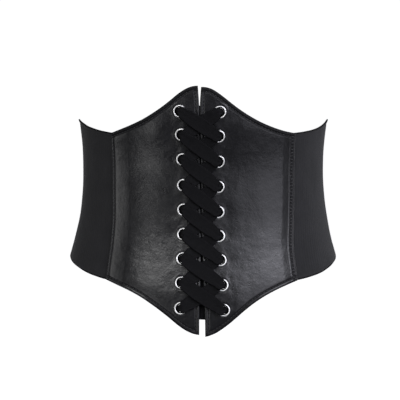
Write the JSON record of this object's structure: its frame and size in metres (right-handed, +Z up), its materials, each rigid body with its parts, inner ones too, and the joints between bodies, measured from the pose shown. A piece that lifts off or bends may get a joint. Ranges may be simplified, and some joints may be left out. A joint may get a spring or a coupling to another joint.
{
  "type": "corset belt",
  "caption": "Lace-up corset belt: two pointed leather-look front panels laced through metal eyelets, joined at the side seams to a wide elastic band that goes round the back.",
  "frame": {"origin": "centre of the oval waist hollow, at the height where the belt is narrowest", "axes": "+Z up as worn, the laced front faces -Y, +X is to the right in a view of the front"},
  "size_m": [0.2472, 0.1979, 0.2198],
  "materials": {
    "leather": "semi-gloss black leather look, fine grain",
    "elastic": "matte black ribbed elastic webbing",
    "metal": "polished silver metal",
    "ribbon": "matte black woven ribbon"
  },
  "bodies": {
    "root": {"front_panel_left": "leather", "front_panel_right": "leather", "elastic_band": "elastic", "eyelet_l1": "metal", "eyelet_l2": "metal", "eyelet_l3": "metal", "eyelet_l4": "metal", "eyelet_l5": "metal", "eyelet_l6": "metal", "eyelet_l7": "metal", "eyelet_l8": "metal", "eyelet_l9": "metal", "eyelet_r1": "metal", "eyelet_r2": "metal", "eyelet_r3": "metal", "eyelet_r4": "metal", "eyelet_r5": "metal", "eyelet_r6": "metal", "eyelet_r7": "metal", "eyelet_r8": "metal", "eyelet_r9": "metal", "lace": "ribbon", "lace_knot": "ribbon"}
  },
  "joints": []
}
